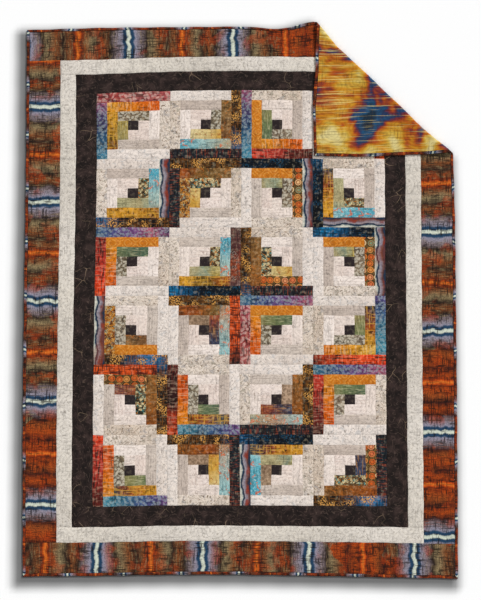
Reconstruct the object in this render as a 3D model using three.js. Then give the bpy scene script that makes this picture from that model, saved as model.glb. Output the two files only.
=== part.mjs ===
// A log cabin quilt that lies face up on a flat surface, one corner folded over so that its backing shows.
// Millimetres, +Z up, +X to the right and +Y towards the quilt's top edge.
// Each sewn block, border strip, binding strip and the backing is its own closed solid, a small gap apart.
import * as THREE from 'three';

// Driving dimensions
const INCH = 25.4;
const LOG = 1.5 * INCH; // finished width of one log
const LOGS_ACROSS_BLOCK = 7;
const ROUNDS = 3;
const COLUMNS = 4;
const ROWS = 6;
const INNER_BORDER = 2 * LOG;
const MIDDLE_BORDER = 1.5 * LOG;
const OUTER_BORDER = 3 * LOG;
const BINDING = 11;
const GAP = 0.3; // clear space between neighbouring pieces

// Heights through the cloth, from the surface that it lies on
const BACKING_TOP = 1.0;
const TOP_UNDERSIDE = BACKING_TOP + GAP;
const SEAM_HEIGHT = 3.4; // the quilted top dips to this along its seams
const PUFF_HEIGHT = 5.0; // and rises to this in the middle of each patch
const BINDING_ROUNDING = 1.5;
const MIDDLE_HEIGHT = PUFF_HEIGHT / 2;

// The folded corner
const FOLD_CLEAR_OF_FIELD = 1; // the fold begins this far outside the patchwork's corner
const FOLD_RADIUS = 6.5; // of the cloth's middle height
const FOLD_SLOPE = THREE.MathUtils.degToRad(6); // how steeply the turned cloth comes down from the fold
const SETTLE_RADIUS = 200; // of the curve in which it comes to lie flat
const LAYERS_APART = 0.5; // clear space between the two faces
const FOLD_STEPS = 8;
const CREEP_LENGTH = 150; // the turned corner's slip grows over this length
const CORNER_SLIP = { x: -16, y: -10 };
const PEAK_RISE = 16; // the top edge is drawn up to a peak where it meets the fold
const PEAK_RUN = 60;

const BLOCK = LOGS_ACROSS_BLOCK * LOG;
const FIELD_X = (COLUMNS * BLOCK) / 2;
const FIELD_Y = (ROWS * BLOCK) / 2;
const INNER_X = FIELD_X + INNER_BORDER;
const INNER_Y = FIELD_Y + INNER_BORDER;
const MIDDLE_X = INNER_X + MIDDLE_BORDER;
const MIDDLE_Y = INNER_Y + MIDDLE_BORDER;
const OUTER_X = MIDDLE_X + OUTER_BORDER;
const OUTER_Y = MIDDLE_Y + OUTER_BORDER;
const EDGE_X = OUTER_X + BINDING;
const EDGE_Y = OUTER_Y + BINDING;

// How far the cloth has crept from square, measured at a few lines down and across it.
// The quilt's top left corner droops, its lower edge bows and the rest wavers by a few millimetres.
// Near the fold the cloth is drawn in towards the middle, so the fold's line bows.
const LINES_DOWN = [-EDGE_X, -FIELD_X, -BLOCK, 0, BLOCK, 1.5 * BLOCK, FIELD_X, MIDDLE_X, EDGE_X];
const LINES_ACROSS = [
  { y: EDGE_Y, right: [-9, -5, -2, 0, -5, -13, -10, -7, -4], up: [-20, -11, -7, -4, 0, -7, -7, -7, -6] },
  { y: MIDDLE_Y, right: [-8, -5, -2, 0, 0, -7, -7, -7, -7], up: [-18, -12, -2, 2, 0, -7, -7, -7, -7] },
  { y: FIELD_Y, right: [-7, -4, 3, 2, 0, -3.5, -7, -7, -7], up: [-17, -12, -2, 2, 0, -3.5, -7, -7.5, -8] },
  {
    y: 2.5 * BLOCK,
    right: [-6, -2.5, 3, 2, 0, 0, -3.5, -9, -9],
    up: [-11.5, -8, -1.5, 1.5, 0, 0, -3.5, -10.5, -9],
  },
  { y: 2 * BLOCK, right: [-5, -1, 3, 2, 0, 0, 0, 0, -4], up: [-6, -4, -1, 1, 0, 0, 0, 0, 0] },
  { y: BLOCK, right: [-4, -1, 3, 1, 0, 0, 0, 0, 0], up: [-3, -3, -3, -2, -1, -0.5, 0, 0, 0] },
  { y: 0, right: [-4, -3, 2, -1, 0, 0, 0, 0, 0], up: [0, -1, 0, 1, 1, 1, 1, 0.5, 0] },
  { y: -BLOCK, right: [-3, -4, 0, -2, 0, 0, 0, 0, 0], up: [2, 2, 2, 4, 4, 4, 4, 3.5, 3] },
  { y: -2 * BLOCK, right: [-1, -4, 0, -2, -1, -0.5, 0, -0.5, -1], up: [0, 0, 3, 4, 4, 4, 4, 3, 2] },
  { y: -FIELD_Y, right: [3, -2, 2, 0, 0, 0.5, 1, -0.6, -2], up: [-3, -3, 3, 4, 3, 2.5, 2, -0.6, -3] },
  { y: -EDGE_Y, right: [7, 4, 2, 0, -1, -1.5, -2, -3, -4], up: [-5, -2, 3, 4, 0, -2.5, -5, -7.1, -9] },
];
const TOP_EDGE_DIP = { x: BLOCK / 2, depth: 11 }; // the top edge sags beside the fold's peak

// Distance past the line where the fold begins, and distance along that line.
const FOLD_START = (FIELD_X + FIELD_Y) / Math.SQRT2 + FOLD_CLEAR_OF_FIELD;
const pastFold = (x, y) => (x + y) / Math.SQRT2 - FOLD_START;
const alongFold = (x, y) => (x - y) / Math.SQRT2;

// Lengths of cloth from the fold's start to the end of each stretch of its curve
const TURN_END = FOLD_RADIUS * (Math.PI + FOLD_SLOPE);
const SETTLE = SETTLE_RADIUS * FOLD_SLOPE;
const LIE_HEIGHT = PUFF_HEIGHT + LAYERS_APART; // of the turned middle over the lower middle
const SETTLE_DROP = SETTLE_RADIUS * (1 - Math.cos(FOLD_SLOPE));
const DROP = FOLD_RADIUS * (1 + Math.cos(FOLD_SLOPE)) - SETTLE_DROP - LIE_HEIGHT;
const SLOPE_END = TURN_END + DROP / Math.sin(FOLD_SLOPE);
const SETTLE_END = SLOPE_END + SETTLE;
const SLIP_END = SETTLE_END + CREEP_LENGTH;

// The peak's pull fades out along the fold, from the outer edge to this line.
const PEAK_FROM = FOLD_START - Math.SQRT2 * EDGE_Y;
const PEAK_TO = SETTLE_END + FOLD_START - Math.SQRT2 * OUTER_Y;

// Where the cloth's middle height runs: forward from the fold's start, up, and its heading
function foldCurve(length) {
  const turned = Math.PI + FOLD_SLOPE;
  if (length <= TURN_END) {
    const heading = length / FOLD_RADIUS;
    return {
      forward: FOLD_RADIUS * Math.sin(heading),
      up: FOLD_RADIUS * (1 - Math.cos(heading)),
      heading,
    };
  }
  const slope = Math.min(length, SLOPE_END) - TURN_END;
  let forward = FOLD_RADIUS * Math.sin(turned) + slope * Math.cos(turned);
  let up = FOLD_RADIUS * (1 - Math.cos(turned)) + slope * Math.sin(turned);
  if (length <= SLOPE_END) return { forward, up, heading: turned };
  const heading = turned - (Math.min(length, SETTLE_END) - SLOPE_END) / SETTLE_RADIUS;
  forward -= SETTLE_RADIUS * (Math.sin(heading) - Math.sin(turned));
  up += SETTLE_RADIUS * (Math.cos(heading) - Math.cos(turned));
  forward -= Math.max(0, length - SETTLE_END);
  return { forward, up, heading };
}

const ramp = (value, from, to) => THREE.MathUtils.clamp((value - from) / (to - from), 0, 1);

// The creep at a place, from the table's four nearest entries
function creep(x, y) {
  let column = 0;
  while (column < LINES_DOWN.length - 2 && x > LINES_DOWN[column + 1]) column += 1;
  let row = 0;
  while (row < LINES_ACROSS.length - 2 && y < LINES_ACROSS[row + 1].y) row += 1;
  const over = ramp(x, LINES_DOWN[column], LINES_DOWN[column + 1]);
  const down = ramp(y, LINES_ACROSS[row].y, LINES_ACROSS[row + 1].y);
  const mix = (name) => {
    const [upper, lower] = [LINES_ACROSS[row][name], LINES_ACROSS[row + 1][name]];
    const at = (values) => THREE.MathUtils.lerp(values[column], values[column + 1], over);
    return THREE.MathUtils.lerp(at(upper), at(lower), down);
  };
  const dip = TOP_EDGE_DIP.depth * Math.max(0, 1 - Math.abs(x - TOP_EDGE_DIP.x) / (BLOCK / 2));
  return { x: mix('right'), y: mix('up') - dip * ramp(y, MIDDLE_Y, EDGE_Y) };
}

// A place on the flat cloth and a height in it, as a point of the folded quilt
function place(x, y, height) {
  const past = pastFold(x, y);
  const moved = creep(x, y);
  const point = new THREE.Vector3(x + moved.x, y + moved.y, height);
  if (past > 0) {
    const curve = foldCurve(past);
    const forward = curve.forward - (height - MIDDLE_HEIGHT) * Math.sin(curve.heading) - past;
    point.x += forward / Math.SQRT2;
    point.y += forward / Math.SQRT2;
    point.z = MIDDLE_HEIGHT + curve.up + (height - MIDDLE_HEIGHT) * Math.cos(curve.heading);
  }
  const slip = ramp(past, SETTLE_END, SLIP_END);
  const peak = Math.max(0, (PEAK_TO - alongFold(x, y)) / (PEAK_TO - PEAK_FROM)) * ramp(past, -PEAK_RUN, 0);
  point.x += CORNER_SLIP.x * slip;
  point.y += CORNER_SLIP.y * slip + PEAK_RISE * peak;
  return point;
}

// Lines along which every piece is cut into cells, each as nx * x + ny * y = at
const half = 1 / Math.SQRT2;
const acrossFold = (past, needs = () => true) => ({ nx: half, ny: half, at: past + FOLD_START, needs });
const turnStep = TURN_END / FOLD_STEPS;
const FOLD_LENGTHS = [
  ...Array.from({ length: FOLD_STEPS + 1 }, (_, step) => step * turnStep),
  (TURN_END + SLOPE_END) / 2,
  SLOPE_END,
  SLOPE_END + SETTLE / 2,
  SETTLE_END,
  SLIP_END,
];
const isFlat = (cell) => pastFold(cell.middle.x, cell.middle.y) < 0;
const nearPeak = (cell) => pastFold(cell.middle.x, cell.middle.y) > -PEAK_RUN;
const aboveField = (cell) => cell.middle.y > FIELD_Y;
const isFolded = (cell) => !isFlat(cell);
const stations = (limit) => {
  const count = Math.round(limit / (BLOCK / 2));
  return Array.from({ length: 2 * count + 1 }, (_, i) => ((i - count) * BLOCK) / 2);
};
const DOWN_LINES = stations(FIELD_X).map((at) => ({ nx: 1, ny: 0, at, needs: isFlat }));
const ACROSS_LINES = stations(FIELD_Y).map((at) => ({ nx: 0, ny: 1, at, needs: isFlat }));
const SEAMS_ON_FOLD = [
  ...[FIELD_X, INNER_X, MIDDLE_X].map((at) => ({ nx: 1, ny: 0, at, needs: isFolded })),
  ...[FIELD_Y, INNER_Y, MIDDLE_Y].map((at) => ({ nx: 0, ny: 1, at, needs: isFolded })),
];
const FOLD_LINES = [
  ...FOLD_LENGTHS.slice(1).map((length) => acrossFold(length)),
  acrossFold(-PEAK_RUN, aboveField),
  { nx: half, ny: -half, at: PEAK_TO, needs: (cell) => nearPeak(cell) && aboveField(cell) },
];
const cutAlong = (outline, otherLines) => {
  const lines = [acrossFold(0), ...otherLines, ...FOLD_LINES];
  return lines.reduce(cutByLine, [outline]);
};

const TINY = 1e-6;
const keyOf = (point) => `${point.x.toFixed(4)},${point.y.toFixed(4)}`;

function asCell(points) {
  const middle = points.reduce((sum, p) => sum.add(p), new THREE.Vector2()).divideScalar(points.length);
  return { points, middle };
}

// Cuts the cells that a line crosses and that need it.
function cutByLine(cells, line) {
  return cells.flatMap((cell) => {
    const sides = cell.points.map((p) => line.nx * p.x + line.ny * p.y - line.at);
    const crossed = Math.min(...sides) < -TINY && Math.max(...sides) > TINY;
    if (!crossed || !line.needs(cell)) return [cell];
    const halves = { low: [], high: [] };
    cell.points.forEach((p, i) => {
      const next = (i + 1) % cell.points.length;
      if (sides[i] <= TINY) halves.low.push(p);
      if (sides[i] >= -TINY) halves.high.push(p);
      if (Math.abs(sides[i]) > TINY && Math.abs(sides[next]) > TINY && sides[i] * sides[next] < 0) {
        const cut = p.clone().lerp(cell.points[next], sides[i] / (sides[i] - sides[next]));
        halves.low.push(cut);
        halves.high.push(cut);
      }
    });
    return [asCell(halves.low), asCell(halves.high)];
  });
}

// Gives each cell the corners of other cells that lie on its sides, so that the cells share every point.
function shareCorners(cells) {
  const corners = new Map(cells.flatMap((cell) => cell.points.map((p) => [keyOf(p), p])));
  return cells.map((cell) => {
    const points = cell.points.flatMap((start, i) => {
      const end = cell.points[(i + 1) % cell.points.length];
      const side = end.clone().sub(start);
      const between = [...corners.values()].filter((p) => {
        const reach = p.clone().sub(start);
        const share = reach.dot(side) / side.lengthSq();
        const off = Math.abs(reach.cross(side)) / side.length();
        return off < 1e-4 && share > 1e-4 && share < 1 - 1e-4;
      });
      between.sort((a, b) => a.distanceTo(start) - b.distanceTo(start));
      return [start, ...between];
    });
    return { ...cell, points };
  });
}

// Builds a closed solid from a list of corner points and triangles that name them by number.
function solid(name, positions, triangles, material) {
  const geometry = new THREE.BufferGeometry();
  const numbers = positions.flatMap((p) => p.toArray());
  geometry.setAttribute('position', new THREE.Float32BufferAttribute(numbers, 3));
  geometry.setIndex(triangles.flat());
  geometry.computeVertexNormals();
  const mesh = new THREE.Mesh(geometry, material);
  mesh.name = name;
  return mesh;
}

const hasStraightCorner = (points) => points.some((p, i) => {
  const before = points[(i + points.length - 1) % points.length].clone().sub(p);
  const after = points[(i + 1) % points.length].clone().sub(p);
  return Math.abs(before.cross(after)) < 1e-3 * before.length() * after.length();
});

// Splits one quad of a piece's side into triangles. The split runs up and away from the fold's start,
// the same on both sides of a seam, so that the two sides stay parallel where the cloth turns.
function splitSide(lowStart, lowEnd, highEnd, highStart, away) {
  if (away) return [[lowStart, lowEnd, highEnd], [lowStart, highEnd, highStart]];
  return [[lowStart, lowEnd, highStart], [lowEnd, highEnd, highStart]];
}

// The cells as one slab of cloth between two heights. A flat cell of a puffed slab rises to its ridge:
// one point in the middle, or two for a long cell.
function slab(name, cells, low, high, puff, material) {
  const shared = shareCorners(cells);
  const numbers = new Map();
  const positions = [];
  const triangles = [];
  const numberOf = (p, height) => {
    const key = `${keyOf(p)},${height}`;
    if (!numbers.has(key)) numbers.set(key, positions.push(place(p.x, p.y, height)) - 1);
    return numbers.get(key);
  };
  const middleOf = (ring) => {
    const sum = ring.reduce((total, n) => total.add(positions[n]), new THREE.Vector3());
    return positions.push(sum.divideScalar(ring.length)) - 1;
  };
  const fill = (ring, points) => {
    if (hasStraightCorner(points)) {
      const middle = middleOf(ring);
      ring.forEach((n, i) => triangles.push([n, ring[(i + 1) % ring.length], middle]));
      return;
    }
    for (let i = 1; i < ring.length - 1; i += 1) triangles.push([ring[0], ring[i], ring[i + 1]]);
  };
  const raise = (ring, cell) => {
    const ridge = cell.ridge ?? [cell.middle];
    const tops = ridge.map((p) => positions.push(place(p.x, p.y, puff)) - 1);
    const along = ridge[ridge.length - 1].clone().sub(ridge[0]);
    const choose = (i) => {
      const next = cell.points[(i + 1) % cell.points.length];
      const share = cell.points[i].clone().add(next).multiplyScalar(0.5).sub(cell.middle).dot(along);
      return tops.length > 1 && share > TINY ? tops[1] : tops[0];
    };
    const chosen = ring.map((_, i) => choose(i));
    ring.forEach((n, i) => {
      const before = chosen[(i + ring.length - 1) % ring.length];
      triangles.push([n, ring[(i + 1) % ring.length], chosen[i]]);
      if (before !== chosen[i]) triangles.push([n, chosen[i], before]);
    });
  };
  const sides = new Map();
  for (const cell of shared) {
    const upper = cell.points.map((p) => numberOf(p, high));
    const lower = cell.points.map((p) => numberOf(p, low));
    if (puff && isFlat(cell)) raise(upper, cell);
    else fill(upper, cell.points);
    if (!cell.plainBelow) fill([...lower].reverse(), [...cell.points].reverse());
    cell.points.forEach((p, i) => {
      const next = cell.points[(i + 1) % cell.points.length];
      const back = `${keyOf(next)}|${keyOf(p)}`;
      if (sides.has(back)) sides.delete(back);
      else sides.set(`${keyOf(p)}|${keyOf(next)}`, [p, next]);
    });
  }
  for (const [start, end] of sides.values()) {
    const corners = [numberOf(start, low), numberOf(end, low), numberOf(end, high), numberOf(start, high)];
    triangles.push(...splitSide(...corners, pastFold(start.x, start.y) < pastFold(end.x, end.y)));
  }
  if (shared[0].plainBelow) closeBelow([...sides.values()], low, numberOf, middleOf, triangles);
  return solid(name, positions, triangles, material);
}

// A plain underside for a flat piece: one fan over its outline
function closeBelow(sides, low, numberOf, middleOf, triangles) {
  const lower = sides.map(([start, end]) => [numberOf(start, low), numberOf(end, low)]);
  const middle = middleOf(lower.map(([start]) => start));
  lower.forEach(([start, end]) => triangles.push([end, start, middle]));
}

// A rectangle of the flat cloth, less half a gap all round
function rectangle(left, bottom, right, top) {
  const [l, b, r, t] = [left + GAP / 2, bottom + GAP / 2, right - GAP / 2, top - GAP / 2];
  return asCell([[l, b], [r, b], [r, t], [l, t]].map(([x, y]) => new THREE.Vector2(x, y)));
}

// The patches of a block, worked out from its centre: each round adds a log on the right, below, on the left
// and on top, each as long as the side that it is sewn to. A quarter turn moves the block's dark corner.
function logsOfBlock(left, bottom, quarterTurns) {
  const middle = new THREE.Vector2(left + BLOCK / 2, bottom + BLOCK / 2);
  const reach = BLOCK / 2 - GAP / 2;
  const logs = [{ x0: -0.5, y0: -0.5, x1: 0.5, y1: 0.5 }];
  for (let round = 0; round < ROUNDS; round += 1) {
    const inside = round + 0.5;
    const outside = round + 1.5;
    logs.push({ x0: inside, y0: -inside, x1: outside, y1: inside });
    logs.push({ x0: -inside, y0: -outside, x1: outside, y1: -inside });
    logs.push({ x0: -outside, y0: -outside, x1: -inside, y1: inside });
    logs.push({ x0: -outside, y0: inside, x1: outside, y1: outside });
  }
  const fit = (value) => THREE.MathUtils.clamp(value * LOG, -reach, reach);
  return logs.map(({ x0, y0, x1, y1 }) => {
    const at = (x, y) => new THREE.Vector2(fit(x), fit(y))
      .rotateAround(new THREE.Vector2(), (quarterTurns * Math.PI) / 2).add(middle);
    const [wide, tall] = [x1 - x0, y1 - y0];
    const [cx, cy] = [(x0 + x1) / 2, (y0 + y1) / 2];
    const inset = Math.max(wide, tall) / 2 - 0.5;
    const long = [at(cx - inset, cy), at(cx + inset, cy)];
    const high = [at(cx, cy - inset), at(cx, cy + inset)];
    const ridge = wide > tall ? long : high;
    const cell = asCell([at(x0, y0), at(x1, y0), at(x1, y1), at(x0, y1)]);
    return { ...cell, middle: at(cx, cy), ridge: wide === tall ? [at(cx, cy)] : ridge, plainBelow: true };
  });
}

// Which way each block is turned, in quarter turns anticlockwise from a dark top left corner:
// the dark halves of neighbouring blocks meet in nested diamonds.
const TOP_LEFT = 0;
const BOTTOM_LEFT = 1;
const BOTTOM_RIGHT = 2;
const TOP_RIGHT = 3;
const DARK_CORNERS = [
  [TOP_LEFT, BOTTOM_RIGHT, BOTTOM_LEFT, TOP_RIGHT],
  [BOTTOM_RIGHT, TOP_LEFT, TOP_RIGHT, BOTTOM_LEFT],
  [TOP_LEFT, BOTTOM_RIGHT, BOTTOM_LEFT, TOP_RIGHT],
  [BOTTOM_LEFT, TOP_RIGHT, TOP_LEFT, BOTTOM_RIGHT],
  [TOP_RIGHT, BOTTOM_LEFT, BOTTOM_RIGHT, TOP_LEFT],
  [BOTTOM_LEFT, TOP_RIGHT, TOP_LEFT, BOTTOM_RIGHT],
];

const cloth = (color) => new THREE.MeshStandardMaterial({ color, roughness: 0.9, metalness: 0 });
const PATCHWORK = cloth(0xcdb9a4);
const CHARCOAL = cloth(0x2b2422);
const IVORY = cloth(0xd9d3c6);
const RUST_PRINT = cloth(0x96573a);
const BACKING_PRINT = cloth(0xb9892f);
const BINDING_CLOTH = cloth(0x7c3f26);

const quilt = new THREE.Group();

function addBlocks() {
  DARK_CORNERS.forEach((corners, row) => corners.forEach((quarterTurns, column) => {
    const left = column * BLOCK - FIELD_X;
    const bottom = FIELD_Y - (row + 1) * BLOCK;
    const cells = logsOfBlock(left, bottom, quarterTurns);
    const name = `block_r${row + 1}_c${column + 1}`;
    quilt.add(slab(name, cells, TOP_UNDERSIDE, SEAM_HEIGHT, PUFF_HEIGHT, PATCHWORK));
  }));
}

// Side strips are sewn on first. The top and bottom strips then run across their ends.
function addBorder(name, insideX, insideY, width, material) {
  const [outsideX, outsideY] = [insideX + width, insideY + width];
  const strips = {
    left: rectangle(-outsideX, -insideY, -insideX, insideY),
    right: rectangle(insideX, -insideY, outsideX, insideY),
    top: rectangle(-outsideX, insideY, outsideX, outsideY),
    bottom: rectangle(-outsideX, -outsideY, outsideX, -insideY),
  };
  for (const [side, outline] of Object.entries(strips)) {
    const crosswise = side === 'left' || side === 'right' ? ACROSS_LINES : DOWN_LINES;
    const cells = cutAlong(outline, crosswise);
    quilt.add(slab(`${name}_${side}`, cells, TOP_UNDERSIDE, SEAM_HEIGHT, PUFF_HEIGHT, material));
  }
}

// Where it is folded, the backing is also cut along the seams of the top, so that both turn alike.
function addBacking() {
  const outline = rectangle(-OUTER_X, -OUTER_Y, OUTER_X, OUTER_Y);
  const cells = cutAlong(outline, [...DOWN_LINES, ...ACROSS_LINES, ...SEAMS_ON_FOLD]);
  quilt.add(slab('backing', cells, 0, BACKING_TOP, 0, BACKING_PRINT));
}

// The binding is a strip rolled over the raw edge. Its section has a rounded outer side, and it is mitred at
// the corners. "out" is the distance from its inner seam.
const BINDING_SECTION = [
  { out: GAP, height: 0 },
  { out: BINDING - BINDING_ROUNDING, height: 0 },
  { out: BINDING, height: BINDING_ROUNDING },
  { out: BINDING, height: PUFF_HEIGHT - BINDING_ROUNDING },
  { out: BINDING - BINDING_ROUNDING, height: PUFF_HEIGHT },
  { out: GAP, height: PUFF_HEIGHT },
];

// One side of the binding, from rings of its section. It runs with the quilt's outer side on its left, and
// toCloth gives the flat place for a distance along it and a distance out. Each stop is a line across the
// strip, and its lean is 1 or -1 where that line runs at 45 degrees.
function bindingStrip(name, stops, toCloth) {
  const rings = stops.map(({ at, lean }) => BINDING_SECTION.map(({ out, height }) => {
    const [x, y] = toCloth(at + lean * out, out);
    return place(x, y, height);
  }));
  const around = BINDING_SECTION.length;
  const triangles = [];
  for (let stop = 0; stop < rings.length - 1; stop += 1) {
    const [here, there] = [stops[stop], stops[stop + 1]].map(({ at }) => pastFold(...toCloth(at, 0)));
    for (let i = 0; i < around; i += 1) {
      const [a, b] = [stop * around + i, stop * around + ((i + 1) % around)];
      triangles.push(...splitSide(b, b + around, a + around, a, here < there));
    }
  }
  const last = (rings.length - 1) * around;
  for (let i = 1; i < around - 1; i += 1) {
    triangles.push([0, i + 1, i], [last, last + i, last + i + 1]);
  }
  return solid(name, rings.flat(), triangles, BINDING_CLOTH);
}

function addBinding() {
  const ends = (limit) => [{ at: -limit + GAP, lean: -1 }, { at: limit - GAP, lean: 1 }];
  const plain = (lines) => lines.map(({ at }) => ({ at, lean: 0 }));
  const order = (stops) => stops.sort((a, b) => a.at - b.at);
  const foldReaches = (otherSeam) => (length) => (length + FOLD_START) * Math.SQRT2 - otherSeam;
  const alongTop = foldReaches(OUTER_Y);
  const alongRight = foldReaches(OUTER_X);
  const topStops = [
    ...ends(OUTER_X),
    ...plain(DOWN_LINES).filter(({ at }) => at < alongTop(0) - BINDING),
    ...[-PEAK_RUN, ...FOLD_LENGTHS].map((length) => ({ at: alongTop(length), lean: -1 })),
  ];
  const rightStops = [
    ...ends(OUTER_Y),
    ...plain(ACROSS_LINES).filter(({ at }) => at > BINDING - alongRight(0)),
    ...FOLD_LENGTHS.map((length) => ({ at: -alongRight(length), lean: 1 })),
  ];
  const strips = {
    top: [topStops, (along, out) => [along, OUTER_Y + out]],
    right: [rightStops, (along, out) => [OUTER_X + out, -along]],
    bottom: [[...ends(OUTER_X), ...plain(DOWN_LINES)], (along, out) => [-along, -OUTER_Y - out]],
    left: [[...ends(OUTER_Y), ...plain(ACROSS_LINES)], (along, out) => [-OUTER_X - out, along]],
  };
  for (const [side, [stops, toCloth]] of Object.entries(strips)) {
    quilt.add(bindingStrip(`binding_${side}`, order(stops), toCloth));
  }
}

addBlocks();
addBorder('inner_border', FIELD_X, FIELD_Y, INNER_BORDER, CHARCOAL);
addBorder('middle_border', INNER_X, INNER_Y, MIDDLE_BORDER, IVORY);
addBorder('outer_border', MIDDLE_X, MIDDLE_Y, OUTER_BORDER, RUST_PRINT);
addBacking();
addBinding();

// The origin is under the middle of the quilt, on the surface that it lies on.
const box = new THREE.Box3().setFromObject(quilt);
const centre = box.getCenter(new THREE.Vector3());
quilt.position.set(-centre.x, -centre.y, -box.min.z);
quilt.updateMatrixWorld(true);

export default quilt;
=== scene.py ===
# %% [markdown]
# A log cabin quilt
#
# The quilt lies face up with one corner folded over. The CAD frame gives its size and place. This script
# makes what shows: patches, borders, binding and backing as quilted cloth, each with its own printed
# cotton.
# %% Load the frame
import math

import bmesh
import bpy
import numpy as np
from mathutils import Matrix, Vector


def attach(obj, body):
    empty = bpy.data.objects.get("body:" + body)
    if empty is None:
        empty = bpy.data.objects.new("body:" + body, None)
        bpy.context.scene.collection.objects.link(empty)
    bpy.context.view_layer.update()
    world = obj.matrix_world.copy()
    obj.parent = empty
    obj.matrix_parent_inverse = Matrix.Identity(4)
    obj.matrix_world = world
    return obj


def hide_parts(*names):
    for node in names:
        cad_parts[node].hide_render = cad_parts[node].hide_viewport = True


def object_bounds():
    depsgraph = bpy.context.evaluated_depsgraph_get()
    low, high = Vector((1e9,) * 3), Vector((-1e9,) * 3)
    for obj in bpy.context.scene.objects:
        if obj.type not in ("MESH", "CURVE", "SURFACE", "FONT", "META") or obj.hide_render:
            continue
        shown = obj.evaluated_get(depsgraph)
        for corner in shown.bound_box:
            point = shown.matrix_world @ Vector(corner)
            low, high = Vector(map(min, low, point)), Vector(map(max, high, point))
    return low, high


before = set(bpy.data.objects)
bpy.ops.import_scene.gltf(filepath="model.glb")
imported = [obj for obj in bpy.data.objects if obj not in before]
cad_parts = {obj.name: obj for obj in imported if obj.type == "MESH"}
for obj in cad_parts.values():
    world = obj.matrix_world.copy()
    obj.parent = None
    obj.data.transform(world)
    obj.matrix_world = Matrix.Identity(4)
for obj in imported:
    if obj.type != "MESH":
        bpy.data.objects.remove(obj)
cad_box = [list(corner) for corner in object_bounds()]
print("CAD box", cad_box)

# %% [markdown]
# Sizes
#
# A log cabin quilt is laid out in whole logs, so one log's width drives every other size. The cloth is
# worked out flat first, in metres from the quilt's middle, and laid into its place last.
# %% Driving sizes
MM = 0.001
LOG = 38.1 * MM
ROUNDS = 3
COLUMNS = 4
ROWS = 6
BLOCK = (2 * ROUNDS + 1) * LOG
INNER_BORDER = 2 * LOG
MIDDLE_BORDER = 1.5 * LOG
OUTER_BORDER = 3 * LOG
BINDING = 11 * MM
GAP = 0.3 * MM

FIELD_X = COLUMNS * BLOCK / 2
FIELD_Y = ROWS * BLOCK / 2
INNER_X = FIELD_X + INNER_BORDER
INNER_Y = FIELD_Y + INNER_BORDER
MIDDLE_X = INNER_X + MIDDLE_BORDER
MIDDLE_Y = INNER_Y + MIDDLE_BORDER
OUTER_X = MIDDLE_X + OUTER_BORDER
OUTER_Y = MIDDLE_Y + OUTER_BORDER
EDGE_X = OUTER_X + BINDING
EDGE_Y = OUTER_Y + BINDING

BACKING_THICKNESS = 1.0 * MM
TOP_UNDERSIDE = BACKING_THICKNESS + GAP
SEAM_HEIGHT = 3.4 * MM
PATCH_RISE = 0.7 * MM
QUILTING_RISE = 0.9 * MM
MIDDLE_HEIGHT = 2.5 * MM
STITCH_SPACING = 13 * MM
GRID = LOG / 12
print("flat size, m", 2 * EDGE_X, 2 * EDGE_Y)

# %% [markdown]
# The uneven outline
#
# No quilt lies quite square. The droop of its top left corner and the bow of its lower edge are given at
# a few lines down and across it, as in the CAD part, and smooth curves run between them.
# %% Creep of the cloth
LINES_DOWN = [-EDGE_X, -FIELD_X, -BLOCK, 0, BLOCK, 1.5 * BLOCK, FIELD_X, MIDDLE_X, EDGE_X]
LINES_ACROSS = [
    -EDGE_Y, -FIELD_Y, -2 * BLOCK, -BLOCK, 0, BLOCK, 2 * BLOCK, 2.5 * BLOCK, FIELD_Y, MIDDLE_Y, EDGE_Y
]
CREEP_RIGHT = MM * np.array([
    [7, 4, 2, 0, -1, -1.5, -2, -3, -4],
    [3, -2, 2, 0, 0, 0.5, 1, -0.6, -2],
    [-1, -4, 0, -2, -1, -0.5, 0, -0.5, -1],
    [-3, -4, 0, -2, 0, 0, 0, 0, 0],
    [-4, -3, 2, -1, 0, 0, 0, 0, 0],
    [-4, -1, 3, 1, 0, 0, 0, 0, 0],
    [-5, -1, 3, 2, 0, 0, 0, 0, -4],
    [-6, -2.5, 3, 2, 0, 0, -3.5, -9, -9],
    [-7, -4, 3, 2, 0, -3.5, -7, -7, -7],
    [-8, -5, -2, 0, 0, -7, -7, -7, -7],
    [-9, -5, -2, 0, -5, -13, -10, -7, -4],
])
CREEP_UP = MM * np.array([
    [-5, -2, 3, 4, 0, -2.5, -5, -7.1, -9],
    [-3, -3, 3, 4, 3, 2.5, 2, -0.6, -3],
    [0, 0, 3, 4, 4, 4, 4, 3, 2],
    [2, 2, 2, 4, 4, 4, 4, 3.5, 3],
    [0, -1, 0, 1, 1, 1, 1, 0.5, 0],
    [-3, -3, -3, -2, -1, -0.5, 0, 0, 0],
    [-6, -4, -1, 1, 0, 0, 0, 0, 0],
    [-11.5, -8, -1.5, 1.5, 0, 0, -3.5, -10.5, -9],
    [-17, -12, -2, 2, 0, -3.5, -7, -7.5, -8],
    [-18, -12, -2, 2, 0, -7, -7, -7, -7],
    [-20, -11, -7, -4, 0, -7, -7, -7, -6],
])
DIP_AT = BLOCK / 2
DIP_DEPTH = 11 * MM
WAVER = 0.7 * MM
WAVER_RIGHT_LENGTH, WAVER_RIGHT_DRIFT = 21 * MM, 50 * MM
WAVER_UP_LENGTH, WAVER_UP_DRIFT = 19 * MM, 60 * MM


def ramp(value, start, end):
    return np.clip((value - start) / (end - start), 0, 1)


def ease(value, start, end):
    share = ramp(value, start, end)
    return share * share * (3 - 2 * share)


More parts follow.
